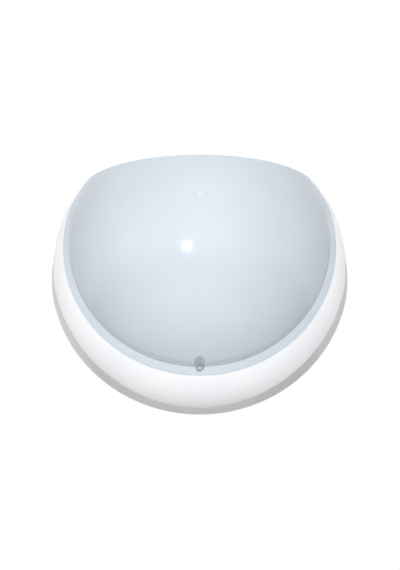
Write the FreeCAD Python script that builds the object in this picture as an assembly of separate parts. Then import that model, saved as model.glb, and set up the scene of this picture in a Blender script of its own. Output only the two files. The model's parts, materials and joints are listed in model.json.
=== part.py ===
import FreeCAD
import Part
import math
import os

# Outdoor wall light: a white housing with a crescent rim and a flat top, and a hinged opal cover.
# Millimetres. X runs along the wall, Z up it, and the wall is the plane Y = 0 with the light on its
# -Y side. "Out" is the distance from the wall, "up" the height above the middle of the housing's
# round outline.

# Housing
rim_radius = 123.8          # inner edge of the rim
rim_lift = 8.8              # height of the centre of the rim and of the dome
rim_out = 39.0              # rim edge, out from the wall
rim_tilt = 22.0             # degrees, slope of the rounded rim at its inner edge
rim_round = 41.2            # radius of the rounded rim's section
rim_end = 75.0              # degrees, slope at which that section ends and runs on straight to the wall
outline_extra = 18.3        # round outline on the wall, how much larger than the rim's inner edge
side_draft = 14.5           # degrees, lean of the side of the housing
horn_drop = 6.5             # the side's upper half is turned about a point this far lower
horn_inset = 1.35           # and is this much smaller, so that the rim runs out at the upper corners
horn_rim = 2.0              # rim left beside the cover's flange at those corners
top_up = 65.0               # flat top, at the joint of cover and housing
top_slope = 8.5             # degrees, run-off of the flat top
wall = 3.0                  # wall of the housing
ledge = 4.0                 # thickness of the ledge that carries the gasket
mouth_lip = 2.35            # ledge left between its opening and the gasket's groove
rib_thickness = 2.0
rib_setback = 1.0           # ribs end this far outside the opening in the ledge
rib_angles = (-160, -137, -114, -66, -43, -20)

# Cover
cover_wall = 2.5            # wall of the opal dome
flange_thickness = 2.6
flange_edge = 0.8           # thickness of the flange at its outer edge
flange_gap = 0.4            # between the flange and the rim
flange_inset = 1.0          # the flange's opening outside the ledge's
seat_gap = 0.3              # between the ledge and the flange, filled by the gasket
foot_inset = 7.0            # the dome meets its sloping flange this far inside the rim
foot_out = 44.9             # and this far out from the wall
foot_round = 26.0           # bend of the dome above its foot
foot_draft = 2.0            # degrees, lean of the dome at its foot
crown_out = 124.0           # crown of the dome, out from the wall
top_edge_round = 1.2        # round of the edge between dome and flat top
gate_mark_radius = 1.3      # moulding gate mark near the crown
gate_mark_height = 0.2
gate_mark_up = 14.7

# Gasket
gasket_drop = 10.9          # middle of the gasket's straight stretch, below the flat top
gasket_width = 5.0
gasket_depth = 2.4          # depth of its groove in the ledge
gasket_play = 0.15          # gap round the gasket

# Cover screw
screw_radius = 1.5
screw_length = 16.0
screw_inset = 6.3           # the screw's axis inside the rim
screw_margin = 0.25         # housing left between the gasket's groove and the insert
screw_head_radius = 2.9
screw_head_height = 2.2
screw_hole_gap = 0.4        # hole in the cover, round the screw
screw_thread_gap = 0.3      # bore of the insert, round the screw
pocket_gap = 0.4            # pocket in the dome, round the screw head
pocket_draft = 10.0         # degrees
pocket_wall = 2.2
washer_thickness = 1.0
washer_width = 1.1
insert_wall = 1.4
insert_length = 9.5
boss_wall = 3.2

# Hinge
hinge_out = 33.8            # hinge axis, out from the wall
hinge_standoff = 0.5        # hinge axis above the flat top
hinge_spread = 55.0         # middle of each knuckle from the middle of the light
pin_radius = 1.5
pin_fit = 0.05              # pin in the housing's ears
knuckle_fit = 0.1           # pin in the cover's knuckle
knuckle_radius = 3.0
knuckle_width = 12.0
knuckle_reach = 19.0        # length of the knuckle's root on the flat top, past the joint
ear_width = 5.0
ear_reach = 10.0            # length of an ear's root, towards the wall
ear_back = 120.0            # degrees, where an ear's back leaves its round end
hinge_gap = 0.6             # room round a knuckle
hinge_pad = 4.0             # housing left behind a knuckle

# Lamp and lampholder, on one axis along X
lamp_out = 46.0
lamp_up = -21.0
holder_back = -72.5
holder_base = 6.4           # solid end of the lampholder
holder_wall = 5.5
sleeve_gap = 0.4            # threaded sleeve round the lamp's cap
sleeve_wall = 1.0
sleeve_length = 24.0
cap_radius = 13.1           # crest of the lamp cap's thread
cap_length = 22.0
cap_pitch = 3.629           # thread pitch of this size of lamp
cap_groove = 0.9            # depth of the thread
cap_crest = 1.1             # flat of each crest
cap_flank = 0.85            # length of a crest's back flank
cap_crests = 5
tip_gap = 0.3               # lamp tip to centre contact
tip_radius = 4.5
tip_height = 1.6
tip_chamfer = 0.8
insulator_radius = 9.5
insulator_tip_radius = 5.5
insulator_height = 3.0
contact_radius = 3.0
contact_plate_radius = 6.0
contact_sheet = 0.8
contact_height = 3.2
neck_radius = 14.5
lamp_body_length = 34.0
globe_radius = 30.0
globe_wall = 1.2
body_wall = 2.0
cup_floor = 6.0             # solid stretch of the lamp body at its neck
globe_gap = 0.05            # joint of globe and lamp body
board_thickness = 1.6
board_gap = 0.3
chip_size = 2.8
chip_height = 0.7
chip_count = 8
chip_ring = 15.0

# Lampholder bracket
bracket_sheet = 1.5
bracket_width = 34.0
bracket_foot = 20.0
bracket_top = 23.0          # above the lamp's axis
bracket_post = 12.0         # height of the posts that carry it, out from the wall
post_radius = 4.5
small_screw_radius = 1.4
small_head_radius = 2.8
small_head_height = 1.9
small_screw_length = 8.0
small_screw_gap = 0.2
post_spread = 11.0          # each post from the lamp's axis, along Z
holder_screw_spread = 9.0   # each holder screw from the lamp's axis, out and in
holder_screw_bite = 4.5     # holder screws in the lampholder
slot_width = 0.8            # driver slots
slot_depth = 0.9
slot_margin = 1.2           # head left beyond the ends of a cross recess

# Terminal block, clamp and cable entry
terminal_x = 63.0
terminal_up = 32.0
terminal_length = 22.0
terminal_pitch = 13.0
terminal_height = 14.0
terminal_margin = 6.5
terminal_recess = 1.0       # sleeves and screws lie this far inside the block
terminal_seat = 4.7         # seat of the fixing screw, above the housing's floor
terminal_bite = 2.0         # fixing screw in the housing's floor
terminal_axis = 7.5         # axis of the terminal sleeves, above the housing's floor
terminal_sleeve_radius = 3.2
terminal_bore = 1.9
terminal_screw_radius = 1.5
terminal_screw_spread = 6.0
entry_x = 68.0
entry_up = -31.0
entry_radius = 9.0          # hole in the housing
grommet_lip = 2.0
grommet_inside = 6.0        # height of the grommet inside the housing
cable_radius = 4.5          # bore of the grommet
clamp_up = -1.0
clamp_length = 30.0
clamp_width = 8.0
clamp_thickness = 3.0
clamp_spread = 10.5
clamp_post = 10.0           # height of the clamp's posts, out from the wall
wire_radius = 1.2
wire_bend = 12.0
wire_spread = 7.0           # each wire's hole from the lamp's axis, along Z
wire_hole_gap = 0.25
wire_depth = 6.0            # wire inside the lampholder and the terminal sleeves
wire_turn_x = 12.0          # where the wires turn towards the terminal block

# Wall fixing
fixing_spread = 90.0        # each wall screw from the middle of the light
fixing_up = 9.0
fixing_hole_radius = 2.6
fixing_pad_radius = 7.0
fixing_pad_height = 3.0

touch = 0.01                # points closer than this to a plane lie on it
over = 1.0                  # overrun of a cutter past the face that it opens
far = 400.0                 # size of a cutter that is larger than the light


def spot(across, out, up):
    return FreeCAD.Vector(across, -out, up)


def peg(across, up, start, end, radius):
    return Part.makeCylinder(radius, end - start, spot(across, start, up), FreeCAD.Vector(0, -1, 0))


def barrel(start, end, out, up, radius):
    return Part.makeCylinder(radius, end - start, spot(start, out, up), FreeCAD.Vector(1, 0, 0))


def block(left, right, inner, outer, low, high):
    return Part.makeBox(right - left, outer - inner, high - low, spot(left, outer, low))


def prism(left, right, outline):
    points = [spot(left, out, up) for out, up in outline]
    face = Part.Face(Part.makePolygon(points + points[:1]))
    return face.extrude(FreeCAD.Vector(right - left, 0, 0))


def fused(first, *others):
    return first.multiFuse(list(others)).removeSplitter()


def top_at(out):
    return top_up - (out - cover_seat) * math.tan(math.radians(top_slope))


def above_top(drop):
    # Everything above the flat top, or above a plane that lies "drop" below it
    slab = Part.makeBox(far, far, far, FreeCAD.Vector(-far / 2, -far / 2, 0))
    slab.rotate(FreeCAD.Vector(0, 0, 0), FreeCAD.Vector(1, 0, 0), top_slope)
    slab.translate(spot(0, cover_seat, top_up - drop / math.cos(math.radians(top_slope))))
    return slab


def d_plate(radius, chord, start, end):
    # Round plate about the rim's centre, cut straight at the chord
    plate = peg(0, rim_lift, start, end, radius)
    return plate.cut(block(-far, far, start - over, end + over, chord, chord + far))


def slotted_screw(across, up, seat, tip, radius, head_radius, head_height):
    # Screw that points to the wall, with its head on "seat" and a cross recess
    screw = fused(peg(across, up, tip, seat + head_height / 2, radius),
                  peg(across, up, seat, seat + head_height, head_radius))
    top = seat + head_height
    reach = head_radius - slot_margin
    half = slot_width / 2
    bars = (block(across - reach, across + reach, top - slot_depth, top + over, up - half, up + half),
            block(across - half, across + half, top - slot_depth, top + over, up - reach, up + reach))
    for bar in bars:
        screw = screw.cut(bar)
    return screw


cover_seat = rim_out + seat_gap
flange_out = cover_seat + flange_thickness
flange_radius = rim_radius - flange_gap
foot_radius = rim_radius - foot_inset
screw_up = rim_lift - rim_radius + screw_inset
insert_radius = screw_radius + screw_thread_gap + insert_wall
groove_half = gasket_width / 2 + gasket_play
gasket_radius = rim_radius - screw_inset - insert_radius - screw_margin - groove_half
gasket_chord = top_up - gasket_drop
mouth_radius = gasket_radius - groove_half - mouth_lip
mouth_chord = gasket_chord - groove_half - mouth_lip
flange_inner_radius = mouth_radius + flange_inset
flange_inner_chord = mouth_chord + flange_inset
screw_tip_out = flange_out + washer_thickness - screw_length
pocket_radius = screw_head_radius + pocket_gap
hinge_up = top_at(hinge_out) + hinge_standoff
sleeve_out = wall + terminal_axis


def housing_side(inset, start, end):
    # Leaning side of the housing, from two rounds: the lower and smaller one trims the rim's ends
    draft = math.tan(math.radians(side_draft))
    rounds = []
    for drop, trim in ((0, 0), (horn_drop, horn_inset)):
        radius = rim_radius + outline_extra - inset - trim
        rounds.append(Part.makeCone(radius - start * draft, radius - end * draft, end - start,
                                    spot(0, start, -drop), FreeCAD.Vector(0, -1, 0)))
    return rounds[0].common(rounds[1])


def housing_form(inset, sink, start):
    # Leaning side, cut off by a rim that is turned about the dome's axis, which gives it its crescent.
    # The inside of the shell is the same form, "inset" smaller and with the rim "sink" nearer to the wall.
    side = housing_side(inset, start, rim_out)
    first = math.radians(rim_tilt)
    last = math.radians(rim_end)

    def on_rim(slope):
        reach = rim_radius + rim_round * (math.sin(slope) - math.sin(first))
        return spot(reach, rim_out - sink - rim_round * (math.cos(first) - math.cos(slope)), rim_lift)

    edge = on_rim(first)
    outer = on_rim(last)
    straight = (-outer.y - start + over) / math.tan(last)
    corner = spot(outer.x + straight, start - over, rim_lift)
    low = spot(0, start - over, rim_lift)
    high = spot(0, rim_out - sink, rim_lift)
    outline = [Part.LineSegment(high, edge).toShape(),
               Part.Arc(edge, on_rim((first + last) / 2), outer).toShape(),
               Part.LineSegment(outer, corner).toShape(),
               Part.LineSegment(corner, low).toShape(),
               Part.LineSegment(low, high).toShape()]
    rim = Part.Face(Part.Wire(outline)).revolve(low, FreeCAD.Vector(0, -1, 0), 360)
    return side.common(rim)


def base_housing():
    cavity = housing_form(wall, ledge, wall).cut(above_top(wall))
    shell = housing_form(0, 0, 0).cut(above_top(0)).cut(cavity)
    shell = shell.cut(d_plate(mouth_radius, mouth_chord, rim_out - ledge - over, rim_out + over))
    shell = shell.cut(gasket_ring(gasket_play, rim_out - gasket_depth, rim_out + over))

    added = []
    for angle in rib_angles:
        rib = block(mouth_radius + rib_setback, far, wall, rim_out, -rib_thickness / 2, rib_thickness / 2)
        rib.translate(FreeCAD.Vector(0, 0, rim_lift))
        rib.rotate(spot(0, 0, rim_lift), FreeCAD.Vector(0, -1, 0), angle)
        added.append(cavity.common(rib))
    added.append(cavity.common(peg(0, screw_up, 0, rim_out, insert_radius + boss_wall)))
    for side in (-1, 1):
        added.append(peg(bracket_post_x(), lamp_up + side * post_spread, 0, bracket_post, post_radius))
        added.append(peg(entry_x + side * clamp_spread, clamp_up, 0, clamp_post, post_radius))
        added.append(peg(side * fixing_spread, fixing_up, 0, wall + fixing_pad_height, fixing_pad_radius))
        middle = side * hinge_spread
        half = knuckle_width / 2 + hinge_gap
        added.append(cavity.common(block(middle - half - wall, middle + half + wall,
                                         hinge_out - knuckle_radius - hinge_gap - wall, rim_out,
                                         hinge_up - knuckle_radius - hinge_gap - hinge_pad, top_up + wall)))
        for edge in (-1, 1):
            inner = middle + edge * half
            added.append(hinge_ear(min(inner, inner + edge * ear_width)))
    housing = fused(shell, *added)

    cutters = [peg(0, screw_up, rim_out - insert_length, rim_out + over, insert_radius),
               peg(0, screw_up, screw_tip_out - over, rim_out, screw_radius + screw_thread_gap),
               peg(entry_x, entry_up, -over, wall + over, entry_radius),
               peg(terminal_x, terminal_up, wall - terminal_bite, wall + over, small_screw_radius)]
    for side in (-1, 1):
        cutters.append(peg(bracket_post_x(), lamp_up + side * post_spread,
                           bracket_post - small_screw_length, bracket_post + over, small_screw_radius))
        cutters.append(peg(entry_x + side * clamp_spread, clamp_up,
                           clamp_post - small_screw_length, clamp_post + over, small_screw_radius))
        cutters.append(peg(side * fixing_spread, fixing_up, -over,
                           wall + fixing_pad_height + over, fixing_hole_radius))
        middle = side * hinge_spread
        half = knuckle_width / 2 + hinge_gap
        cutters.append(block(middle - half, middle + half, hinge_out - knuckle_radius - hinge_gap,
                             rim_out + over, hinge_up - knuckle_radius - hinge_gap, top_up + far))
        cutters.append(barrel(middle - half - ear_width - over, middle + half + ear_width + over,
                              hinge_out, hinge_up, pin_radius + pin_fit))
    for cutter in cutters:
        housing = housing.cut(cutter)
    return housing.removeSplitter()


def hinge_ear(left):
    root = hinge_out - ear_reach
    inside = top_at(hinge_out) - wall / 2
    back = math.radians(ear_back)
    outline = ((root, top_at(root) - wall / 2), (root, top_at(root)),
               (hinge_out + knuckle_radius * math.cos(back), hinge_up + knuckle_radius * math.sin(back)),
               (hinge_out + knuckle_radius, hinge_up), (hinge_out + knuckle_radius, inside))
    round_end = barrel(left, left + ear_width, hinge_out, hinge_up, knuckle_radius)
    return fused(prism(left, left + ear_width, outline), round_end)


def bracket_post_x():
    return holder_back - bracket_sheet - bracket_foot / 2


def gasket_ring(play, start, end):
    half = gasket_width / 2 + play
    ring = d_plate(gasket_radius + half, gasket_chord + half, start, end)
    return ring.cut(d_plate(gasket_radius - half, gasket_chord - half, start - over, end + over))


def dome(inset, floor):
    # Crown arc about the axis, then a bend that is tangent to it and ends at the foot.
    # "inset" gives the inside of the wall.
    last = math.radians(90 - foot_draft)
    bend_r = foot_radius - foot_round * math.sin(last)
    bend_out = foot_out - foot_round * math.cos(last)
    rise = crown_out - bend_out
    crown_radius = (bend_r ** 2 + rise ** 2 - foot_round ** 2) / (2 * (rise - foot_round))
    crown_centre = crown_out - crown_radius
    turn = math.atan2(bend_r, bend_out - crown_centre)

    def on_crown(angle):
        length = crown_radius - inset
        return spot(length * math.sin(angle), crown_centre + length * math.cos(angle), rim_lift)

    def on_bend(angle):
        length = foot_round - inset
        return spot(bend_r + length * math.sin(angle), bend_out + length * math.cos(angle), rim_lift)

    foot_edge = on_bend(last)
    floor_edge = spot(foot_edge.x, floor, rim_lift)
    floor_middle = spot(0, floor, rim_lift)
    edges = [Part.Arc(on_crown(0), on_crown(turn / 2), on_crown(turn)).toShape(),
             Part.Arc(on_crown(turn), on_bend((turn + last) / 2), foot_edge).toShape(),
             Part.LineSegment(foot_edge, floor_edge).toShape(),
             Part.LineSegment(floor_edge, floor_middle).toShape(),
             Part.LineSegment(floor_middle, on_crown(0)).toShape()]
    face = Part.Face(Part.Wire(edges))
    return face.revolve(floor_middle, FreeCAD.Vector(0, -1, 0), 360)


def pocket(start, growth):
    # Drafted pocket for the screw head, open towards the front
    depth = crown_out - start
    wide = pocket_radius + growth + depth * math.tan(math.radians(pocket_draft))
    return Part.makeCone(pocket_radius + growth, wide, depth, spot(0, start, screw_up),
                         FreeCAD.Vector(0, -1, 0))


def diffuser():
    outside = dome(0, cover_seat).cut(above_top(0))
    rounded = []
    for edge in outside.Edges:
        middle = edge.valueAt((edge.FirstParameter + edge.LastParameter) / 2)
        on_top = abs(middle.z - top_at(-middle.y)) < touch
        if on_top and -middle.y > foot_out + over:
            rounded.append(edge)
    outside = outside.makeFillet(top_edge_round, rounded)
    edge_out = cover_seat + flange_edge
    slope = Part.makeCone(flange_radius, foot_radius, foot_out - edge_out, spot(0, edge_out, rim_lift),
                          FreeCAD.Vector(0, -1, 0))
    flange = fused(peg(0, rim_lift, cover_seat, edge_out, flange_radius), slope).cut(above_top(0))
    flange = flange.common(housing_side(horn_rim, cover_seat, foot_out))
    outside = fused(outside, flange)
    inside = dome(cover_wall, flange_out).cut(above_top(cover_wall))
    opening = d_plate(flange_inner_radius, flange_inner_chord, cover_seat - over, flange_out + over)
    pocket_shell = pocket(cover_seat, pocket_wall).common(outside)
    gate_mark = peg(0, gate_mark_up, crown_out - cover_wall, crown_out + gate_mark_height, gate_mark_radius)
    cover = fused(outside.cut(inside).cut(opening), pocket_shell, gate_mark)

    for side in (-1, 1):
        cover = cover.fuse(knuckle(side * hinge_spread - knuckle_width / 2))
    cover = cover.removeSplitter()
    cover = cover.cut(pocket(flange_out, 0))
    cover = cover.cut(peg(0, screw_up, cover_seat - over, flange_out + over, screw_radius + screw_hole_gap))
    return cover.cut(barrel(-far / 2, far / 2, hinge_out, hinge_up, pin_radius + knuckle_fit))


def knuckle(left):
    tail = cover_seat + knuckle_reach
    low = hinge_up - knuckle_radius
    high = hinge_up + knuckle_radius
    outline = ((hinge_out, low), (hinge_out, high), (flange_out, high),
               (tail, top_at(tail)), (tail, top_at(tail) - cover_wall / 2), (flange_out, low))
    eye = barrel(left, left + knuckle_width, hinge_out, hinge_up, knuckle_radius)
    return fused(eye, prism(left, left + knuckle_width, outline))


def hinge_pin(side):
    middle = side * hinge_spread
    half = knuckle_width / 2 + hinge_gap + ear_width
    return barrel(middle - half, middle + half, hinge_out, hinge_up, pin_radius)


def cover_screw():
    return slotted_screw(0, screw_up, flange_out + washer_thickness, screw_tip_out,
                         screw_radius, screw_head_radius, screw_head_height)


def cover_screw_washer():
    hole = screw_radius + screw_hole_gap
    ring = peg(0, screw_up, flange_out, flange_out + washer_thickness, hole + washer_width)
    return ring.cut(peg(0, screw_up, flange_out - over, flange_out + washer_thickness + over, hole))


def screw_insert():
    tube = peg(0, screw_up, rim_out - insert_length, rim_out, insert_radius)
    return tube.cut(peg(0, screw_up, rim_out - insert_length - over, rim_out + over,
                        screw_radius + screw_thread_gap))


def turned(outline):
    # Solid turned about the lamp's axis, from points of distance along X and radius
    points = [spot(along, lamp_out, lamp_up + radius) for along, radius in outline]
    face = Part.Face(Part.makePolygon(points + points[:1]))
    return face.revolve(spot(0, lamp_out, lamp_up), FreeCAD.Vector(1, 0, 0), 360)


# From the lampholder's back along the lamp's axis
holder_floor = holder_back + holder_base
tip_x = holder_floor + contact_height + tip_gap
holder_front = tip_x + tip_height + insulator_height + cap_length
sleeve_radius = cap_radius + sleeve_gap
holder_radius = sleeve_radius + sleeve_wall + holder_wall
wire_x = holder_back + holder_base / 2


def lampholder_body():
    body = barrel(holder_back, holder_front, lamp_out, lamp_up, holder_radius)
    body = body.cut(barrel(holder_floor, holder_front + over, lamp_out, lamp_up, sleeve_radius + sleeve_wall))
    for side in (-1, 1):
        hole = wire_radius + wire_hole_gap
        rim = lamp_out - holder_radius
        body = body.cut(peg(wire_x, lamp_up + side * wire_spread, rim - over,
                            wire_end_out() + wire_hole_gap, hole))
        body = body.cut(barrel(holder_back - over, holder_back + holder_screw_bite,
                               lamp_out + side * holder_screw_spread, lamp_up, small_screw_radius))
    return body


def lampholder_sleeve():
    start = holder_front - sleeve_length
    tube = barrel(start, holder_front, lamp_out, lamp_up, sleeve_radius + sleeve_wall)
    return tube.cut(barrel(start - over, holder_front + over, lamp_out, lamp_up, sleeve_radius))


def lampholder_contact():
    plate = barrel(holder_floor, holder_floor + contact_sheet, lamp_out, lamp_up, contact_plate_radius)
    stud = barrel(holder_floor, holder_floor + contact_height, lamp_out, lamp_up, contact_radius)
    return fused(plate, stud)


def lampholder_bracket():
    back = holder_back - bracket_sheet
    low = lamp_up - bracket_width / 2
    high = lamp_up + bracket_width / 2
    foot_end = bracket_post + bracket_sheet
    plate = fused(block(back, holder_back, bracket_post, lamp_out + bracket_top, low, high),
                  block(back - bracket_foot, holder_back, bracket_post, foot_end, low, high))
    for side in (-1, 1):
        hole = small_screw_radius + small_screw_gap
        plate = plate.cut(peg(bracket_post_x(), lamp_up + side * post_spread,
                              bracket_post - over, foot_end + over, hole))
        plate = plate.cut(barrel(back - over, holder_back + over,
                                 lamp_out + side * holder_screw_spread, lamp_up, hole))
    return plate


def small_screw(across, up, seat, length):
    return slotted_screw(across, up, seat, seat - length, small_screw_radius,
                         small_head_radius, small_head_height)


def bracket_screw(side):
    return small_screw(bracket_post_x(), lamp_up + side * post_spread,
                       bracket_post + bracket_sheet, small_screw_length)


def lampholder_screw(side):
    # Turned to lie along X, with its head behind the bracket
    screw = small_screw(0, 0, 0, bracket_sheet + holder_screw_bite)
    screw.rotate(FreeCAD.Vector(0, 0, 0), FreeCAD.Vector(0, 0, 1), -90)
    screw.translate(spot(holder_back - bracket_sheet, lamp_out + side * holder_screw_spread, lamp_up))
    return screw


def wire_end_out():
    return lamp_out - holder_radius + wire_depth


def wire(side):
    # From the lampholder down to the housing's floor, then across it to a terminal sleeve
    start_up = lamp_up + side * wire_spread
    end_up = terminal_up + side * terminal_pitch / 2
    end_x = terminal_x - terminal_length / 2 + wire_depth
    route = [spot(wire_x, wire_end_out(), start_up), spot(wire_x, sleeve_out, start_up),
             spot(wire_turn_x, sleeve_out, end_up), spot(end_x, sleeve_out, end_up)]
    edges = []
    last = route[0]
    for before, corner, after in zip(route, route[1:], route[2:]):
        back = (before - corner).normalize()
        ahead = (after - corner).normalize()
        half = back.getAngle(ahead) / 2
        reach = wire_bend / math.tan(half)
        enter = corner + back * reach
        leave = corner + ahead * reach
        bisector = (back + ahead).normalize()
        middle = corner + bisector * (wire_bend / math.sin(half) - wire_bend)
        edges.append(Part.LineSegment(last, enter).toShape())
        edges.append(Part.Arc(enter, middle, leave).toShape())
        last = leave
    edges.append(Part.LineSegment(last, route[-1]).toShape())
    path = Part.Wire(edges)
    direction = route[1] - route[0]
    section = Part.Wire(Part.Circle(route[0], direction, wire_radius).toShape())
    tube = path.makePipeShell([section], True, False)
    expected = math.pi * wire_radius ** 2 * path.Length
    print("wire length %.1f, volume over section times length %.4f" % (path.Length, tube.Volume / expected))
    return tube


def terminal_span():
    half = terminal_pitch / 2 + terminal_margin
    return terminal_up - half, terminal_up + half


def terminal_body():
    low, high = terminal_span()
    left = terminal_x - terminal_length / 2
    right = terminal_x + terminal_length / 2
    body = block(left, right, wall, wall + terminal_height, low, high)
    body = body.cut(peg(terminal_x, terminal_up, wall - over, far, small_screw_radius + small_screw_gap))
    body = body.cut(peg(terminal_x, terminal_up, wall + terminal_seat, far,
                        small_head_radius + small_screw_gap))
    for pole in (-1, 1):
        up = terminal_up + pole * terminal_pitch / 2
        body = body.cut(barrel(left - over, right + over, sleeve_out, up, terminal_sleeve_radius))
        for side in (-1, 1):
            body = body.cut(peg(terminal_x + side * terminal_screw_spread, up, sleeve_out, far,
                                terminal_screw_radius + small_screw_gap))
    return body


def terminal_sleeve(pole):
    inset = terminal_length / 2 - terminal_recess
    up = terminal_up + pole * terminal_pitch / 2
    tube = barrel(terminal_x - inset, terminal_x + inset, sleeve_out, up, terminal_sleeve_radius)
    tube = tube.cut(barrel(terminal_x - far, terminal_x + far, sleeve_out, up, terminal_bore))
    for side in (-1, 1):
        tube = tube.cut(peg(terminal_x + side * terminal_screw_spread, up, sleeve_out, far,
                            terminal_screw_radius))
    return tube


def terminal_screw(pole, side):
    x = terminal_x + side * terminal_screw_spread
    up = terminal_up + pole * terminal_pitch / 2
    top = wall + terminal_height - terminal_recess
    half = slot_width / 2
    screw = peg(x, up, sleeve_out + wire_radius, top, terminal_screw_radius)
    return screw.cut(block(x - far, x + far, top - slot_depth, top + over, up - half, up + half))


def terminal_fixing_screw():
    return small_screw(terminal_x, terminal_up, wall + terminal_seat, terminal_seat + terminal_bite)


def cable_grommet():
    flange = entry_radius + grommet_lip
    body = fused(peg(entry_x, entry_up, 0, wall, entry_radius),
                 peg(entry_x, entry_up, wall, wall + grommet_lip, flange))
    nozzle = Part.makeCone(entry_radius, cable_radius + grommet_lip, grommet_inside,
                           spot(entry_x, wall, entry_up), FreeCAD.Vector(0, -1, 0))
    return fused(body, nozzle).cut(peg(entry_x, entry_up, -over, far, cable_radius))


def cable_clamp():
    half = clamp_width / 2
    bar = block(entry_x - clamp_length / 2, entry_x + clamp_length / 2, clamp_post,
                clamp_post + clamp_thickness, clamp_up - half, clamp_up + half)
    for side in (-1, 1):
        bar = bar.cut(peg(entry_x + side * clamp_spread, clamp_up, clamp_post - over, far,
                          small_screw_radius + small_screw_gap))
    return bar


def clamp_screw(side):
    return small_screw(entry_x + side * clamp_spread, clamp_up, clamp_post + clamp_thickness,
                       small_screw_length)


def lamp_tip():
    return turned(((tip_x, 0), (tip_x, tip_radius - tip_chamfer), (tip_x + tip_chamfer, tip_radius),
                   (tip_x + tip_height, tip_radius), (tip_x + tip_height, 0)))


def lamp_insulator():
    start = tip_x + tip_height
    return turned(((start, 0), (start, insulator_tip_radius), (start + insulator_height, insulator_radius),
                   (start + insulator_height, 0)))


def lamp_cap():
    start = holder_front - cap_length
    root = cap_radius - cap_groove
    outline = [(start, 0), (start, insulator_radius)]
    thread_start = start + cap_pitch / 2
    for crest in range(cap_crests):
        along = thread_start + crest * cap_pitch
        outline.append((along - cap_crest / 2 - cap_flank, root))
        outline.append((along - cap_crest / 2, cap_radius))
        outline.append((along + cap_crest / 2, cap_radius))
    outline += [(along + cap_pitch / 2, root), (holder_front, root), (holder_front, 0)]
    return turned(outline)


def cup_radius(along):
    # Inside of the lamp body, which widens evenly from the neck to the joint with the globe
    start = holder_front + cup_floor
    end = holder_front + lamp_body_length
    widest = globe_radius - globe_wall - body_wall
    narrowest = neck_radius - body_wall
    return narrowest + (widest - narrowest) * (along - start) / (end - start)


def lamp_body():
    # Cup from the neck out to the joint with the globe
    start = holder_front + cup_floor
    end = holder_front + lamp_body_length
    outside = turned(((holder_front, 0), (holder_front, neck_radius), (holder_front + body_wall, neck_radius),
                      (end, globe_radius - globe_wall), (end, 0)))
    inside = turned(((start, 0), (start, cup_radius(start)),
                     (end + over, cup_radius(end + over)), (end + over, 0)))
    return outside.cut(inside)


def lamp_globe():
    end = holder_front + lamp_body_length + globe_gap
    ball = Part.makeSphere(globe_radius, spot(end, lamp_out, lamp_up))
    hollow = Part.makeSphere(globe_radius - globe_wall, spot(end, lamp_out, lamp_up))
    behind = block(end - far, end, lamp_out - far, lamp_out + far, lamp_up - far, lamp_up + far)
    return ball.cut(hollow).cut(behind)


def board_end():
    return holder_front + lamp_body_length - board_thickness


def led_board():
    radius = cup_radius(board_end()) - board_gap
    return barrel(board_end(), board_end() + board_thickness, lamp_out, lamp_up, radius)


def led_chip(step):
    start = board_end() + board_thickness
    chip = Part.makeBox(chip_height, chip_size, chip_size,
                        FreeCAD.Vector(start, -chip_size / 2, chip_ring - chip_size / 2))
    chip.rotate(FreeCAD.Vector(0, 0, 0), FreeCAD.Vector(1, 0, 0), 360 * step / chip_count)
    chip.translate(spot(0, lamp_out, lamp_up))
    return chip


nodes = {
    "base_housing": base_housing(),
    "diffuser": diffuser(),
    "diffuser_gasket": gasket_ring(0, rim_out - gasket_depth, cover_seat - gasket_play),
    "cover_screw": cover_screw(),
    "cover_screw_washer": cover_screw_washer(),
    "screw_insert": screw_insert(),
    "lampholder_bracket": lampholder_bracket(),
    "lampholder_body": lampholder_body(),
    "lampholder_sleeve": lampholder_sleeve(),
    "lampholder_contact": lampholder_contact(),
    "wire_live": wire(1),
    "wire_neutral": wire(-1),
    "terminal_body": terminal_body(),
    "terminal_fixing_screw": terminal_fixing_screw(),
    "cable_grommet": cable_grommet(),
    "cable_clamp": cable_clamp(),
    "lamp_tip": lamp_tip(),
    "lamp_insulator": lamp_insulator(),
    "lamp_cap": lamp_cap(),
    "lamp_body": lamp_body(),
    "lamp_globe": lamp_globe(),
    "led_board": led_board(),
}
for side, place in ((-1, "left"), (1, "right")):
    nodes["hinge_pin_" + place] = hinge_pin(side)
    nodes["clamp_screw_" + place] = clamp_screw(side)
for side, place in ((-1, "lower"), (1, "upper")):
    nodes["bracket_screw_" + place] = bracket_screw(side)
    nodes["terminal_sleeve_" + place] = terminal_sleeve(side)
    nodes["terminal_screw_%s_left" % place] = terminal_screw(side, -1)
    nodes["terminal_screw_%s_right" % place] = terminal_screw(side, 1)
for side, place in ((-1, "inner"), (1, "outer")):
    nodes["lampholder_screw_" + place] = lampholder_screw(side)
for step in range(chip_count):
    nodes["led_chip_%d" % (step + 1)] = led_chip(step)

os.makedirs("parts", exist_ok=True)
for name, shape in nodes.items():
    print("%-26s %d solid(s) %10.1f mm3 valid %s" % (name, len(shape.Solids), shape.Volume, shape.isValid()))
    shape.exportStep("parts/%s.step" % name)
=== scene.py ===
import json
import math

import bmesh
import bpy
from mathutils import Matrix, Vector


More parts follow.
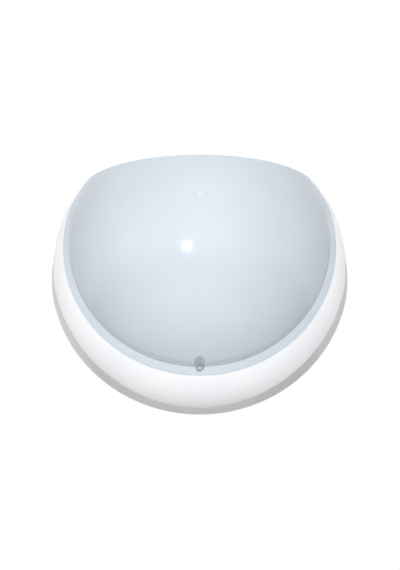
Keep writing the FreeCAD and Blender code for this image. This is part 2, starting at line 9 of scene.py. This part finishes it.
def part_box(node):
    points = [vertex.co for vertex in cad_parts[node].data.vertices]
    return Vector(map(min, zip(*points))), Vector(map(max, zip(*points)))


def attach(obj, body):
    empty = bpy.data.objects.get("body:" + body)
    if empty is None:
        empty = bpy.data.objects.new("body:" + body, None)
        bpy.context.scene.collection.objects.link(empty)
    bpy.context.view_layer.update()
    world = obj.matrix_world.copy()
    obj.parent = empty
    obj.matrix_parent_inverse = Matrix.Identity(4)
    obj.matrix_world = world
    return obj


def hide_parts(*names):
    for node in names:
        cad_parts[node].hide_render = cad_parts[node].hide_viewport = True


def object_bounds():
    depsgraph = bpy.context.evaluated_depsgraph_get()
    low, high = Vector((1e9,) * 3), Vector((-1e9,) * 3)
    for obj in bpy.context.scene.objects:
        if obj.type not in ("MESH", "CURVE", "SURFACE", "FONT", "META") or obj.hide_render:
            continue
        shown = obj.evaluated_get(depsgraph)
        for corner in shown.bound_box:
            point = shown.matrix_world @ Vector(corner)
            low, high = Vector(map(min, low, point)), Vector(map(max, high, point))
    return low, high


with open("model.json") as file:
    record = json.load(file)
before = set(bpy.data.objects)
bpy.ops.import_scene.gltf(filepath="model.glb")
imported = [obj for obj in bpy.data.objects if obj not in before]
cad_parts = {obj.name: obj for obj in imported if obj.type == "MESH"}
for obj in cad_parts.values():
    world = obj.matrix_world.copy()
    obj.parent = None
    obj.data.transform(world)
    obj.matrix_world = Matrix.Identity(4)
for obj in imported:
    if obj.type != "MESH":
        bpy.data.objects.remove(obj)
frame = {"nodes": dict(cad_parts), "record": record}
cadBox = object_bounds()
nodes = frame["nodes"]
print("frame loaded,", len(nodes), "nodes")


mmPerMetre = 1000


def linear(hexText):
    # sRGB hex to linear colour
    channels = []
    for start in (0, 2, 4):
        level = int(hexText[start:start + 2], 16) / 255
        channels.append(level / 12.92 if level <= 0.04045 else ((level + 0.055) / 1.055) ** 2.4)
    return (*channels, 1.0)


def perMm(size):
    # texture scale for a pattern of that size in millimetres, on coordinates in metres
    return mmPerMetre / size


def addNode(tree, kind, settings=None, links=None):
    # one node: settings are its properties or input values, links are input name to output socket
    node = tree.nodes.new(kind)
    for name, value in (settings or {}).items():
        if isinstance(name, str) and hasattr(node, name):
            setattr(node, name, value)
        else:
            node.inputs[name].default_value = value
    for name, source in (links or {}).items():
        tree.links.new(source, node.inputs[name])
    return node


# values of the cloud pattern at which a finish is all deep or all pale, and how far a dust speck covers it
pattern = {"deepAt": 0.35, "paleAt": 0.65, "dustCover": 0.5}


def makeFinish(name, look):
    # cloudy colour between two tones, a gloss that follows the clouds, and fine relief on top
    mat = bpy.data.materials.new(name)
    mat.use_nodes = True
    tree = mat.node_tree
    tree.nodes.clear()
    bsdf = addNode(tree, "ShaderNodeBsdfPrincipled", look["shader"])
    addNode(tree, "ShaderNodeOutputMaterial", None, {"Surface": bsdf.outputs["BSDF"]})
    place = addNode(tree, "ShaderNodeTexCoord").outputs["Object"]

    cloud = addNode(tree, "ShaderNodeTexNoise", {"Scale": perMm(look["cloudMm"]), "Detail": 4.0},
                    {"Vector": place})
    tone = addNode(tree, "ShaderNodeValToRGB", None, {"Fac": cloud.outputs["Fac"]})
    for stop, key in zip(tone.color_ramp.elements, ("deep", "pale")):
        stop.color = linear(look[key])
        stop.position = pattern[key + "At"]
    colour = tone.outputs["Color"]
    if "dust" in look:
        # single specks, in cells of the dust's spacing
        cell = addNode(tree, "ShaderNodeTexVoronoi", {"Scale": perMm(look["dustGapMm"])}, {"Vector": place})
        size = look["dustMm"] / look["dustGapMm"]
        speck = addNode(tree, "ShaderNodeMapRange",
                        {"From Min": size, "From Max": size / 2, "To Max": pattern["dustCover"]},
                        {"Value": cell.outputs["Distance"]})
        colour = addNode(tree, "ShaderNodeMix", {"data_type": "RGBA", 7: linear(look["dust"])},
                         {0: speck.outputs["Result"], 6: colour}).outputs[2]
    tree.links.new(colour, bsdf.inputs["Base Color"])

    smooth, dull = look["rough"]
    gloss = addNode(tree, "ShaderNodeMapRange",
                    {"From Min": pattern["deepAt"], "From Max": pattern["paleAt"],
                     "To Min": smooth, "To Max": dull},
                    {"Value": cloud.outputs["Fac"]})
    tree.links.new(gloss.outputs["Result"], bsdf.inputs["Roughness"])

    grain = addNode(tree, "ShaderNodeTexNoise", {"Scale": perMm(look["grainMm"]), "Detail": 2.0},
                    {"Vector": place})
    bump = addNode(tree, "ShaderNodeBump", {"Distance": look["grainDepthMm"] / mmPerMetre},
                   {"Height": grain.outputs["Fac"]})
    tree.links.new(bump.outputs["Normal"], bsdf.inputs["Normal"])
    return mat


# Opal polycarbonate, moulded against a polished tool: light scatters in the wall, so it is an even
# bluish white under a sharp gloss, with slow waves from the mould and a little dust
opalPolycarbonate = {"pale": "DDE7F1", "deep": "D9E3ED", "cloudMm": 70.0, "rough": (0.13, 0.18),
                     "grainMm": 26.0, "grainDepthMm": 0.02,
                     "dust": "A9A8A8", "dustMm": 0.5, "dustGapMm": 16.0,
                     "shader": {"IOR": 1.49, "Specular IOR Level": 0.35, "Coat Weight": 0.2,
                                "Coat Roughness": 0.4, "Subsurface Weight": 0.25,
                                "Subsurface Radius": (1.0, 1.05, 1.15), "Subsurface Scale": 0.004}}

# The same opal on the moulding gate's mark, painted paler: a painted highlight that stands in for the light's
# glint on the mark
gateHighlightPaint = dict(opalPolycarbonate, pale="EAF2F9", deep="E6EFF7", rough=(0.3, 0.4))

# White ABS, injection moulded: dense clean white, a slight orange peel softens its gloss
mouldedAbs = {"pale": "FAFBFD", "deep": "F6F7FA", "cloudMm": 45.0, "rough": (0.3, 0.38), "grainMm": 1.6,
              "grainDepthMm": 0.01, "shader": {"IOR": 1.54, "Specular IOR Level": 0.25}}

# Steel, pressed or headed, then zinc plated and handled: blue-grey metal, dulled in clouds
zincPlatedSteel = {"pale": "D6D9DE", "deep": "C0C4CA", "cloudMm": 3.0, "rough": (0.36, 0.5), "grainMm": 0.35,
                   "grainDepthMm": 0.006, "shader": {"Metallic": 1.0}}

# Brass, turned and drawn: warm yellow metal that tarnishes in patches
turnedBrass = {"pale": "E0BD74", "deep": "C39A52", "cloudMm": 4.0, "rough": (0.25, 0.4), "grainMm": 0.3,
               "grainDepthMm": 0.006, "shader": {"Metallic": 1.0}}

# Porcelain, dry pressed and fired without glaze: warm white, dull, slightly gritty
pressedPorcelain = {"pale": "EFECE6", "deep": "E8E4DC", "cloudMm": 9.0, "rough": (0.45, 0.62), "grainMm": 0.6,
                    "grainDepthMm": 0.03, "shader": {"IOR": 1.5, "Specular IOR Level": 0.35}}

# Synthetic rubber, moulded: near black and dull, with a light dusty bloom
mouldedRubber = {"pale": "2E2E2F", "deep": "202021", "cloudMm": 6.0, "rough": (0.6, 0.78), "grainMm": 0.5,
                 "grainDepthMm": 0.03, "shader": {"IOR": 1.52, "Specular IOR Level": 0.3}}

# PVC insulation, extruded over the strands: even colour, satin, with faint drawing marks
brownPvc = {"pale": "6B4429", "deep": "5A3720", "cloudMm": 5.0, "rough": (0.36, 0.48), "grainMm": 0.8,
            "grainDepthMm": 0.015, "shader": {"IOR": 1.53, "Specular IOR Level": 0.4}}
bluePvc = dict(brownPvc, pale="2B5FB2", deep="1F4E9C")

# Natural polyamide, injection moulded: creamy, satin, a little light goes into it
mouldedPolyamide = {"pale": "EDEAE0", "deep": "E2DDCF", "cloudMm": 8.0, "rough": (0.36, 0.48), "grainMm": 0.7,
                    "grainDepthMm": 0.02,
                    "shader": {"IOR": 1.53, "Specular IOR Level": 0.4, "Subsurface Weight": 0.2,
                               "Subsurface Radius": (1.0, 0.9, 0.7), "Subsurface Scale": 0.001}}

# White PBT, moulded round the lamp's heat sink: clean warm white, satin
mouldedPbt = {"pale": "F4F3EF", "deep": "EBEAE5", "cloudMm": 20.0, "rough": (0.32, 0.42), "grainMm": 1.2,
              "grainDepthMm": 0.012, "shader": {"IOR": 1.55, "Specular IOR Level": 0.35}}

# Opal polycarbonate, blow moulded for the lamp: milky and satin, light scatters under its skin
blownOpal = {"pale": "F6F5F1", "deep": "EEEDE8", "cloudMm": 24.0, "rough": (0.3, 0.38), "grainMm": 0.5,
             "grainDepthMm": 0.008,
             "shader": {"IOR": 1.49, "Specular IOR Level": 0.4, "Subsurface Weight": 0.3,
                        "Subsurface Radius": (1.0, 0.97, 0.9), "Subsurface Scale": 0.003}}

# Nickel-plated brass, thread rolled: grey-white metal, scuffed where it was screwed in
nickelPlatedBrass = {"pale": "D6D5D2", "deep": "BEBDBA", "cloudMm": 2.5, "rough": (0.22, 0.36),
                     "grainMm": 0.4, "grainDepthMm": 0.008, "shader": {"Metallic": 1.0}}

# Black glass, pressed hot into the lamp's cap: glossy, slightly wavy
pressedGlass = {"pale": "1B1A19", "deep": "100F0F", "cloudMm": 3.0, "rough": (0.12, 0.22), "grainMm": 0.5,
                "grainDepthMm": 0.015, "shader": {"IOR": 1.52}}

# White solder mask, screen printed on aluminium: flat white with a slight grit
solderMask = {"pale": "F0F0EC", "deep": "E6E6E1", "cloudMm": 5.0, "rough": (0.34, 0.46), "grainMm": 0.4,
              "grainDepthMm": 0.01, "shader": {"IOR": 1.5, "Specular IOR Level": 0.4}}

# Yellow phosphor in cast silicone: grainy lemon yellow with a soft shine
phosphorSilicone = {"pale": "F2D75A", "deep": "E3BE36", "cloudMm": 0.4, "rough": (0.3, 0.45), "grainMm": 0.3,
                    "grainDepthMm": 0.02, "shader": {"IOR": 1.41, "Specular IOR Level": 0.4}}

finishes = {
    "white_abs": makeFinish("mouldedAbs", mouldedAbs),
    "opal": makeFinish("opalPolycarbonate", opalPolycarbonate),
    "seal_rubber": makeFinish("mouldedRubber", mouldedRubber),
    "zinc_steel": makeFinish("zincPlatedSteel", zincPlatedSteel),
    "brass": makeFinish("turnedBrass", turnedBrass),
    "porcelain": makeFinish("pressedPorcelain", pressedPorcelain),
    "brown_pvc": makeFinish("brownPvc", brownPvc),
    "blue_pvc": makeFinish("bluePvc", bluePvc),
    "natural_nylon": makeFinish("mouldedPolyamide", mouldedPolyamide),
    "lamp_white": makeFinish("mouldedPbt", mouldedPbt),
    "lamp_opal": makeFinish("blownOpal", blownOpal),
    "nickel_cap": makeFinish("nickelPlatedBrass", nickelPlatedBrass),
    "black_insulator": makeFinish("pressedGlass", pressedGlass),
    "board_white": makeFinish("solderMask", solderMask),
    "led_phosphor": makeFinish("phosphorSilicone", phosphorSilicone),
}
slotOf = {part["node"]: part["material_slot"] for part in frame["record"]["subparts"]}
for name, slot in slotOf.items():
    nodes[name].data.materials.clear()
    nodes[name].data.materials.append(finishes[slot])
print("finishes on", len(slotOf), "nodes")


def standFor(name, body, mesh):
    # shows the mesh in place of a CAD node, in that node's finish
    mesh.materials.append(finishes[slotOf[name]])
    piece = bpy.data.objects.new(name + "Piece", mesh)
    bpy.context.scene.collection.objects.link(piece)
    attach(piece, body)
    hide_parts(name)
    return piece


def lampAxis(name):
    # ends of a lamp piece along its axis, its radius, and where the axis is
    low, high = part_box(name)
    return low.x, high.x, (high.z - low.z) / 2, (low.y + high.y) / 2, (low.z + high.z) / 2


def turnedMesh(name, rings, around, y, z):
    # skin through rings about the lamp's axis; each ring is a list of (x, radius), one for each step around
    shape = bmesh.new()
    rows = []
    for ring in rings:
        row = []
        for step, (x, radius) in enumerate(ring):
            turn = 2 * math.pi * step / around
            row.append(shape.verts.new((x, y + radius * math.cos(turn), z + radius * math.sin(turn))))
        rows.append(row)
    for first, second in zip(rows, rows[1:]):
        for step in range(around):
            after = (step + 1) % around
            shape.faces.new((first[step], first[after], second[after], second[step])).smooth = True
    shape.faces.new(rows[0][::-1])
    shape.faces.new(rows[-1])
    bmesh.ops.recalc_face_normals(shape, faces=shape.faces)
    mesh = bpy.data.meshes.new(name)
    shape.to_mesh(mesh)
    shape.free()
    return mesh


cap = {"pitch": 0.003629, "depth": 0.0012, "startRadius": 0.0095, "shoulder": 0.0016, "plainEnd": 0.0035,
       "around": 96, "stepsPerPitch": 14}


def buildCap():
    # rolled round thread, one right-handed helix that runs out at both ends
    start, end, crest, y, z = lampAxis("lamp_cap")
    root = crest - cap["depth"]
    count = round((end - start) / cap["pitch"] * cap["stepsPerPitch"])
    rings = [[(start, cap["startRadius"])] * cap["around"]]
    for row in range(1, count + 1):
        x = start + (end - start) * row / count
        rise = min(1.0, (x - start) / cap["shoulder"])
        base = cap["startRadius"] + (root - cap["startRadius"]) * math.sqrt(rise * (2 - rise))
        show = min(1.0, max(0.0, (x - start - cap["shoulder"]) / cap["pitch"]),
                   max(0.0, (end - cap["plainEnd"] - x) / cap["pitch"]))
        ring = []
        for step in range(cap["around"]):
            wave = 0.5 + 0.5 * math.cos(2 * math.pi * ((x - start) / cap["pitch"] - step / cap["around"]))
            ring.append((x, base + cap["depth"] * show * wave))
        rings.append(ring)
    standFor("lamp_cap", "lamp", turnedMesh("lampCap", rings, cap["around"], y, z))


bulb = {"neckRadius": 0.0145, "collar": 0.002, "edgeRound": 0.0006, "rows": 28, "around": 96}


def buildBulb():
    # the lamp's body swells from its collar and is level where it meets the globe
    start, end, widest, y, z = lampAxis("lamp_body")
    rings = [[(start, bulb["neckRadius"] - bulb["edgeRound"])] * bulb["around"],
             [(start + bulb["edgeRound"], bulb["neckRadius"])] * bulb["around"]]
    for row in range(bulb["rows"] + 1):
        share = row / bulb["rows"]
        x = start + bulb["collar"] + (end - start - bulb["collar"]) * share
        swell = 0.5 - 0.5 * math.cos(math.pi * share)
        rings.append([(x, bulb["neckRadius"] + (widest - bulb["neckRadius"]) * swell)] * bulb["around"])
    standFor("lamp_body", "lamp", turnedMesh("lampBody", rings, bulb["around"], y, z))


leads = {"radius": 0.0012, "lengthSteps": 24, "roundSteps": 5, "bendOrder": 3,
         "wire_live": {"length": 0.159, "exit": (-0.0693, -0.0260, -0.0140),
                       "route": ((-0.0693, -0.0320, -0.0140), (-0.0693, -0.0105, -0.0140),
                                 (-0.0512, -0.0105, -0.0023), (-0.0266, -0.0105, 0.0135),
                                 (0.0120, -0.0105, 0.0385), (0.0580, -0.0105, 0.0385))},
         "wire_neutral": {"length": 0.1595, "exit": (-0.0693, -0.0260, -0.0280),
                          "route": ((-0.0693, -0.0320, -0.0280), (-0.0693, -0.0105, -0.0280),
                                    (-0.0513, -0.0105, -0.0162), (-0.0264, -0.0105, 0.0002),
                                    (0.0120, -0.0105, 0.0255), (0.0580, -0.0105, 0.0255))}}


def buildLead(name):
    # soft wire from the lampholder down to the housing's floor and across it to the terminal block
    curve = bpy.data.curves.new(name + "Line", "CURVE")
    curve.dimensions = "3D"
    curve.resolution_u = leads["lengthSteps"]
    curve.bevel_depth = leads["radius"]
    curve.bevel_resolution = leads["roundSteps"]
    curve.use_fill_caps = True
    spline = curve.splines.new("NURBS")
    spline.points.add(len(leads[name]["route"]) - 1)
    for point, spot in zip(spline.points, leads[name]["route"]):
        point.co = (*spot, 1.0)
    spline.order_u = leads["bendOrder"]
    spline.use_endpoint_u = True
    piece = standFor(name, "housing", curve)


# the head and its recess in shares of the head's radius and height, other lengths in metres
screws = {"around": 64, "rings": 26, "sideShare": 0.4, "edgeShare": 0.55, "edgePower": 2.4,
          "recessReach": 0.62, "recessHalf": 0.17, "recessDepth": 0.45, "endSlope": 0.12, "sideSlope": 0.05,
          "pitch": 0.0006, "threadDepth": 0.16, "stepsPerPitch": 6, "tip": 0.0012, "tipShare": 0.35,
          "cover": {"headHeight": 0.0022, "shankRadius": 0.0015},
          "inside": {"headHeight": 0.0019, "shankRadius": 0.0014},
          "alongY": Matrix.Rotation(math.radians(90), 4, "X"),
          "alongX": Matrix.Rotation(math.radians(-90), 4, "Y")}


def buildScrew(name, body, axis, kind):
    # pan head with a driven-in cross recess, and a rolled thread down to a short point
    headHeight = screws[kind]["headHeight"]
    shankRadius = screws[kind]["shankRadius"]
    low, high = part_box(name)
    lying = axis == "alongX"
    length = high.x - low.x if lying else high.y - low.y
    headRadius = (high.z - low.z) / 2
    around = screws["around"]
    shape = bmesh.new()

    def addRing(radiusAt, heightAt):
        ring = []
        for step in range(around):
            turn = 2 * math.pi * step / around
            radius = radiusAt(turn)
            spot = (radius * math.cos(turn), radius * math.sin(turn), heightAt(turn, radius))
            ring.append(shape.verts.new(spot))
        return ring

    def recess(turn, radius):
        # depth of the cross, with walls that slope in
        depth = 0.0
        for along, across in ((math.cos(turn), math.sin(turn)), (math.sin(turn), math.cos(turn))):
            end = (screws["recessReach"] - abs(along) * radius / headRadius) / screws["endSlope"]
            side = (screws["recessHalf"] - abs(across) * radius / headRadius) / screws["sideSlope"]
            depth = max(depth, min(1.0, max(0.0, end)) * min(1.0, max(0.0, side)))
        return depth * screws["recessDepth"] * headHeight

    def crown(radius):
        # the head is low in the middle of its side and rounds over to a nearly flat top
        share = max(0.0, (radius / headRadius - screws["edgeShare"]) / (1 - screws["edgeShare"]))
        bulge = math.sqrt(max(0.0, 1 - share ** screws["edgePower"]))
        return headHeight * (screws["sideShare"] + (1 - screws["sideShare"]) * bulge)

    rings = []
    for row in range(1, screws["rings"] + 1):
        reach = headRadius * row / screws["rings"]
        rings.append(addRing(lambda turn: reach, lambda turn, radius: crown(radius) - recess(turn, radius)))
    rings.append(addRing(lambda turn: headRadius, lambda turn, radius: 0.0))
    rings.append(addRing(lambda turn: shankRadius, lambda turn, radius: 0.0))
    shank = length - headHeight
    root = shankRadius * (1 - screws["threadDepth"])
    count = round(shank / screws["pitch"] * screws["stepsPerPitch"])
    for row in range(1, count + 1):
        down = shank * row / count
        taper = min(1.0, screws["tipShare"] + (1 - screws["tipShare"]) * (shank - down) / screws["tip"])

        def thread(turn):
            phase = (down / screws["pitch"] + turn / (2 * math.pi)) % 1.0
            return taper * (root + (shankRadius - root) * abs(2 * phase - 1))
        rings.append(addRing(thread, lambda turn, radius: -down))
    middle = shape.verts.new((0, 0, crown(0.0) - recess(0.0, 0.0)))
    for step in range(around):
        shape.faces.new((middle, rings[0][step], rings[0][(step + 1) % around]))
    for first, second in zip(rings, rings[1:]):
        for step in range(around):
            after = (step + 1) % around
            shape.faces.new((first[step], second[step], second[after], first[after])).smooth = True
    shape.faces.new(rings[-1][::-1])
    bmesh.ops.recalc_face_normals(shape, faces=shape.faces)
    seat = (low + high) / 2
    if lying:
        seat.x = low.x + headHeight
    else:
        seat.y = low.y + headHeight
    place = Matrix.Translation(seat) @ screws[axis]
    bmesh.ops.transform(shape, matrix=place, verts=shape.verts)
    mesh = bpy.data.meshes.new(name + "Mesh")
    shape.to_mesh(mesh)
    shape.free()
    standFor(name, body, mesh)


# in metres: where the dome's middle is, how near to it a corner counts, and how flat the gate mark's face is
dome = {"axisUp": 0.0088, "crown": -0.12, "reach": 0.0003, "markSlack": 0.00001}


def buildCover():
    # the cover's own shape, with true normals where the dome's faces meet in a point at its middle
    mesh = nodes["diffuser"].data.copy()
    mesh.materials.clear()
    normals = [corner.vector.copy() for corner in mesh.corner_normals]
    for loop in mesh.loops:
        spot = mesh.vertices[loop.vertex_index].co
        if spot.y < dome["crown"] and math.hypot(spot.x, spot.z - dome["axisUp"]) < dome["reach"]:
            normals[loop.index] = Vector((0, math.copysign(1.0, normals[loop.index].y), 0))
    mesh.attributes.remove(mesh.attributes["custom_normal"])
    stored = mesh.attributes.new("custom_normal", "FLOAT_VECTOR", "CORNER")
    for place, normal in zip(stored.data, normals):
        place.vector = normal
    standFor("diffuser", "cover", mesh)
    # the gate mark's face stands out the farthest
    # the gate mark's face is painted paler than the dome round it, a painted highlight
    mesh.materials.append(makeFinish("gateHighlightPaint", gateHighlightPaint))
    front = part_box("diffuser")[0].y + dome["markSlack"]
    for face in mesh.polygons:
        if all(mesh.vertices[corner].co.y < front for corner in face.vertices):
            face.material_index = len(mesh.materials) - 1


# angles in degrees, each piece's rounding in metres
eased = {"sharp": 35.0, "flat": 0.5, "weld": 0.000002, "segments": 3, "profile": 0.5, "terminal_body": 0.0006,
         "cable_clamp": 0.0006, "lampholder_body": 0.0008, "lampholder_bracket": 0.0003}


def buildEased(name):
    # the node's own shape, with its sharp edges rounded as moulding or tumbling leaves them
    shape = bmesh.new()
    shape.from_mesh(nodes[name].data)
    bmesh.ops.remove_doubles(shape, verts=shape.verts, dist=eased["weld"])
    bmesh.ops.dissolve_limit(shape, angle_limit=math.radians(eased["flat"]), verts=shape.verts,
                             edges=shape.edges)
    sharp = [edge for edge in shape.edges
             if len(edge.link_faces) == 2 and edge.calc_face_angle() > math.radians(eased["sharp"])]
    bmesh.ops.bevel(shape, geom=sharp, offset=eased[name], segments=eased["segments"],
                    profile=eased["profile"], affect="EDGES", clamp_overlap=True, harden_normals=False)
    for face in shape.faces:
        face.smooth = True
    mesh = bpy.data.meshes.new(name + "Mesh")
    shape.to_mesh(mesh)
    shape.free()
    piece = standFor(name, "housing", mesh)
    piece.modifiers.new("evenNormals", "WEIGHTED_NORMAL")


buildCover()
buildCap()
buildBulb()
buildLead("wire_live")
buildLead("wire_neutral")
print("cover, lamp cap, lamp body and leads built")
buildScrew("cover_screw", "cover_screw", "alongY", "cover")
for name in ("bracket_screw_lower", "bracket_screw_upper", "clamp_screw_left", "clamp_screw_right",
             "terminal_fixing_screw"):
    buildScrew(name, "housing", "alongY", "inside")
for name in ("lampholder_screw_inner", "lampholder_screw_outer"):
    buildScrew(name, "housing", "alongX", "inside")
print("screws built")
for name in ("terminal_body", "cable_clamp", "lampholder_body", "lampholder_bracket"):
    buildEased(name)
print("edges eased")


camera = {"aimDrop": 0.003, "distance": 0.630, "below": 19.35, "focalPx": 658.4, "longSidePx": 570,
          "upPx": 18.44, "leftPx": -0.4, "sensorMm": 36.0, "nearest": 0.01}


def addCamera():
    # the photograph looks at the middle of the housing's back, from the front and from below
    aim = Vector((0, 0, -camera["aimDrop"]))
    lean = math.radians(camera["below"])
    away = Vector((0, -math.cos(lean), -math.sin(lean)))
    data = bpy.data.cameras.new("camera")
    data.sensor_width = camera["sensorMm"]
    data.lens = camera["focalPx"] / camera["longSidePx"] * data.sensor_width
    data.shift_y = -camera["upPx"] / camera["longSidePx"]
    data.shift_x = -camera["leftPx"] / camera["longSidePx"]
    data.clip_start = camera["nearest"]
    cam = bpy.data.objects.new("camera", data)
    cam.location = aim + away * camera["distance"]
    cam.rotation_mode = "QUATERNION"
    cam.rotation_quaternion = (-away).to_track_quat("-Z", "Y")
    bpy.context.scene.collection.objects.link(cam)
    bpy.context.scene.camera = cam


# directions in degrees from straight ahead of the light, lengths in metres
studio = {"flashLamp": {"left": 10.4, "above": -11.6, "distance": 1.6, "size": 0.06, "watts": 5.4},
          "frontLamp": {"left": -2.5, "above": -7.0, "distance": 1.7, "size": 1.2, "watts": 21.6},
          "sideLamp": {"left": 72.0, "above": -4.0, "distance": 1.2, "size": 1.0, "watts": 1.0},
          "topLamp": {"left": 180.0, "above": 75.0, "distance": 0.8, "size": 0.6, "watts": 2.3},
          "backLamp": {"left": 165.0, "above": 5.0, "distance": 1.2, "size": 1.0, "watts": 7.5},
          "mirrored": "flashLamp", "roomLight": 0.185, "floorDrop": 1.5, "floorSize": 14.0, "floorGlow": 0.6}


def addLamp(name):
    # disc lamp that looks at the crown of the cover; only the flash is mirrored in it
    spot = studio[name]
    low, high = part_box("diffuser")
    crown = Vector((0, low.y, (low.z + high.z) / 2))
    turn, lift = math.radians(spot["left"]), math.radians(spot["above"])
    away = Vector((-math.sin(turn) * math.cos(lift), -math.cos(turn) * math.cos(lift), math.sin(lift)))
    data = bpy.data.lights.new(name, "AREA")
    data.shape = "DISK"
    data.size = spot["size"]
    data.energy = spot["watts"]
    lamp = bpy.data.objects.new(name, data)
    lamp.location = crown + away * spot["distance"]
    lamp.rotation_mode = "QUATERNION"
    lamp.rotation_quaternion = (-away).to_track_quat("-Z", "Y")
    lamp.visible_glossy = name == studio["mirrored"]
    bpy.context.scene.collection.objects.link(lamp)


def addRoom():
    # white to the camera and in reflections, dim to everything else
    world = bpy.data.worlds.new("room")
    bpy.context.scene.world = world
    world.use_nodes = True
    tree = world.node_tree
    tree.nodes.clear()
    ray = addNode(tree, "ShaderNodeLightPath")
    seen = addNode(tree, "ShaderNodeMath", {"operation": "MAXIMUM"},
                   {0: ray.outputs["Is Camera Ray"], 1: ray.outputs["Is Glossy Ray"]})
    seen = addNode(tree, "ShaderNodeMath", {"operation": "MAXIMUM"},
                   {0: seen.outputs[0], 1: ray.outputs["Is Transmission Ray"]})
    level = addNode(tree, "ShaderNodeMapRange", {"To Min": studio["roomLight"], "To Max": 1.0},
                    {"Value": seen.outputs[0]})
    back = addNode(tree, "ShaderNodeBackground", {"Color": (1, 1, 1, 1)},
                   {"Strength": level.outputs["Result"]})
    addNode(tree, "ShaderNodeOutputWorld", None, {"Surface": back.outputs[0]})


# Painted board for the floor: pale and dull
paintedBoard = {"pale": "EFEFEF", "deep": "ECECEC", "cloudMm": 60.0, "rough": (0.85, 0.95), "grainMm": 3.0,
                "grainDepthMm": 0.02, "shader": {"Specular IOR Level": 0.1, "Emission Color": (1, 1, 1, 1)}}


def addFloor():
    # pale to the camera, and it keeps the light's shadow
    mesh = bpy.data.meshes.new("floor")
    shape = bmesh.new()
    bmesh.ops.create_grid(shape, x_segments=1, y_segments=1, size=studio["floorSize"] / 2)
    shape.to_mesh(mesh)
    shape.free()
    board = makeFinish("paintedBoard", paintedBoard)
    tree = board.node_tree
    ray = addNode(tree, "ShaderNodeLightPath")
    glow = addNode(tree, "ShaderNodeMath", {"operation": "MULTIPLY", 1: studio["floorGlow"]},
                   {0: ray.outputs["Is Camera Ray"]})
    tree.links.new(glow.outputs[0], tree.nodes["Principled BSDF"].inputs["Emission Strength"])
    mesh.materials.append(board)
    floor = bpy.data.objects.new("floor", mesh)
    floor.location.z = cadBox[0].z - studio["floorDrop"]
    bpy.context.scene.collection.objects.link(floor)


addCamera()
for name in ("flashLamp", "frontLamp", "sideLamp", "topLamp", "backLamp"):
    addLamp(name)
addRoom()
addFloor()
bpy.context.scene.view_settings.view_transform = "Standard"
print("camera, lamps and floor placed")
